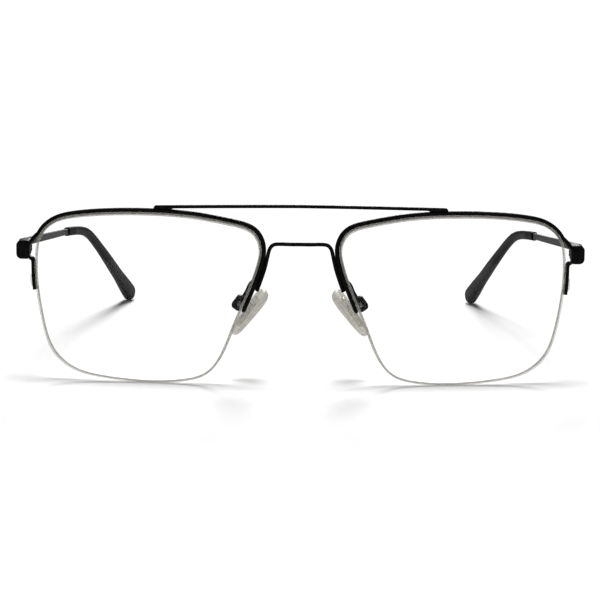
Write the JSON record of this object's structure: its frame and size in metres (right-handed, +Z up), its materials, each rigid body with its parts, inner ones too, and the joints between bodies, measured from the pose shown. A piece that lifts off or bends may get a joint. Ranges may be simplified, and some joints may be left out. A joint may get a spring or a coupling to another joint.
{
  "type": "half rim eyeglasses",
  "caption": "Clear-lens half rim eyeglasses with a straight brow bar, nylon cord lens mounting, adjustable nose pads and folding temples.",
  "frame": {"origin": "centre of the footprint on the table, at the height of the lens bottoms and temple tips", "axes": "+X the wearer's left, +Y back along the open temples, +Z up; the lenses face -Y"},
  "size_m": [0.1422, 0.1428, 0.0451],
  "materials": {
    "frame_black": "satin black coating over metal wire",
    "temple_metal": "dark grey coating with fine lengthwise grooves",
    "tip_charcoal": "matt charcoal moulding",
    "lens_clear": "clear, polished faces and a fine-ground edge",
    "nylon_clear": "clear monofilament and mouldings",
    "liner_smoke": "dark grey bedding line, partly clear",
    "silicone_clear": "clear soft silicone",
    "screw_dark": "dark plated, turned"
  },
  "bodies": {
    "front": {"bridge": "frame_black", "brow_bar": "frame_black", "cord_keeper_left": "frame_black", "cord_keeper_right": "frame_black", "endpiece_left": "frame_black", "endpiece_right": "frame_black", "hinge_front_left": "frame_black", "hinge_front_right": "frame_black", "hinge_screw_left": "screw_dark", "hinge_screw_right": "screw_dark", "lens_left": "lens_clear", "lens_right": "lens_clear", "nylon_cord_left": "nylon_clear", "nylon_cord_right": "nylon_clear", "pad_arm_left": "frame_black", "pad_arm_right": "frame_black", "pad_box_left": "frame_black", "pad_box_right": "frame_black", "pad_screw_left": "screw_dark", "pad_screw_right": "screw_dark", "rim_left": "frame_black", "rim_liner_left": "liner_smoke", "rim_liner_right": "liner_smoke", "rim_right": "frame_black"},
    "temple_right": {"hinge_temple_right": "frame_black", "temple_right": "temple_metal", "temple_tip_right": "tip_charcoal"},
    "nose_pad_right": {"nose_pad_right": "silicone_clear", "pad_core_right": "nylon_clear"},
    "temple_left": {"hinge_temple_left": "frame_black", "temple_left": "temple_metal", "temple_tip_left": "tip_charcoal"},
    "nose_pad_left": {"nose_pad_left": "silicone_clear", "pad_core_left": "nylon_clear"}
  },
  "joints": [
    {"name": "temple_fold_left", "type": "hinge", "parent": "front", "child": "temple_left", "pos_m": [0.0688, -0.0574, 0.03275], "axis": [0, 0.0715, 0.9974], "range_deg": [0, 84]},
    {"name": "temple_fold_right", "type": "hinge", "parent": "front", "child": "temple_right", "pos_m": [-0.0688, -0.0574, 0.03275], "axis": [0, -0.0715, -0.9974], "range_deg": [0, 79]},
    {"name": "pad_rock_left", "type": "hinge", "parent": "front", "child": "nose_pad_left", "pos_m": [0.0151, -0.0625, 0.0194], "axis": [0, 1, 0], "range_deg": [-12, 12]},
    {"name": "pad_rock_right", "type": "hinge", "parent": "front", "child": "nose_pad_right", "pos_m": [-0.0151, -0.0625, 0.0194], "axis": [0, -1, 0], "range_deg": [-12, 12]}
  ]
}
